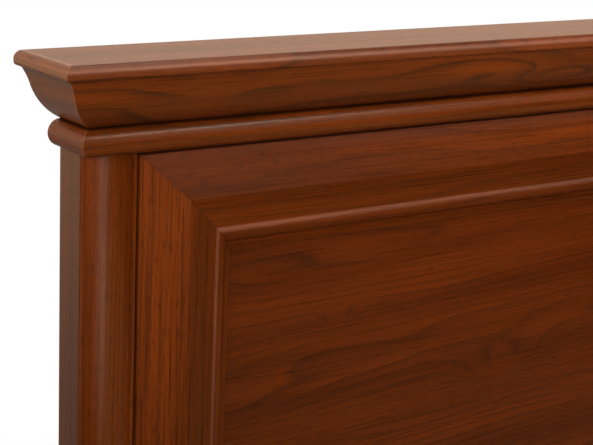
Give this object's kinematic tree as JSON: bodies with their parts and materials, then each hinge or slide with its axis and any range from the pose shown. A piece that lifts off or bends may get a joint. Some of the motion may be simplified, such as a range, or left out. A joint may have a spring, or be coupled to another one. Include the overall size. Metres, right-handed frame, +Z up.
{
  "type": "bed",
  "caption": "Panelled double bed: crown moulding, half-round bead and mitred raised frame on headboard and footboard, hook-on side rails, lift-out slats on a centre beam and leg.",
  "frame": {"origin": "On the floor, under the middle of the whole bed's outline", "axes": "+X across the bed, to the right as seen from the foot end; +Y from the footboard to the headboard; +Z up. The fronts of both boards face -Y."},
  "size_m": [1.786, 2.184, 1.05],
  "materials": {
    "cherry_foil": "satin cherry-grain foil on board",
    "pine": "planed pine",
    "beech": "turned beech",
    "zinc_steel": "zinc-plated steel",
    "black_plastic": "moulded plastic",
    "woven_tape": "woven polyester tape"
  },
  "bodies": {
    "bed": {"centre_beam": "pine", "centre_beam_brackets": "zinc_steel", "centre_leg": "pine", "centre_leg_nut": "zinc_steel", "dowels": "beech", "footboard_bead_front": "cherry_foil", "footboard_bead_left": "cherry_foil", "footboard_bead_right": "cherry_foil", "footboard_crown_front": "cherry_foil", "footboard_crown_left": "cherry_foil", "footboard_crown_right": "cherry_foil", "footboard_frame_bottom": "cherry_foil", "footboard_frame_left": "cherry_foil", "footboard_frame_right": "cherry_foil", "footboard_frame_top": "cherry_foil", "footboard_panel": "cherry_foil", "footboard_post_left": "cherry_foil", "footboard_post_right": "cherry_foil", "footboard_top_board": "cherry_foil", "footboard_top_rail": "cherry_foil", "headboard_bead_front": "cherry_foil", "headboard_bead_left": "cherry_foil", "headboard_bead_right": "cherry_foil", "headboard_crown_front": "cherry_foil", "headboard_crown_left": "cherry_foil", "headboard_crown_right": "cherry_foil", "headboard_frame_bottom": "cherry_foil", "headboard_frame_left": "cherry_foil", "headboard_frame_right": "cherry_foil", "headboard_frame_top": "cherry_foil", "headboard_lower_rail": "cherry_foil", "headboard_panel": "cherry_foil", "headboard_post_left": "cherry_foil", "headboard_post_right": "cherry_foil", "headboard_top_board": "cherry_foil", "headboard_top_rail": "cherry_foil", "ledger_left": "pine", "ledger_right": "pine", "ledger_screws": "zinc_steel", "plate_screws": "zinc_steel", "post_glides": "black_plastic", "post_slot_plates": "zinc_steel", "rail_hook_plates": "zinc_steel", "side_rail_left": "cherry_foil", "side_rail_right": "cherry_foil"},
    "slat_roll": {"slat_01": "pine", "slat_02": "pine", "slat_03": "pine", "slat_04": "pine", "slat_05": "pine", "slat_06": "pine", "slat_07": "pine", "slat_08": "pine", "slat_09": "pine", "slat_10": "pine", "slat_11": "pine", "slat_12": "pine", "slat_tapes": "woven_tape"},
    "centre_foot": {"centre_foot_pad": "black_plastic", "centre_foot_spindle": "zinc_steel"}
  },
  "joints": [
    {"name": "slat_roll_lift", "type": "slide", "parent": "bed", "child": "slat_roll", "axis": [0, 0, 1], "range_m": [0, 0.35]},
    {"name": "centre_foot_travel", "type": "slide", "parent": "bed", "child": "centre_foot", "axis": [0, 0, -1], "range_m": [0, 0.012]}
  ]
}
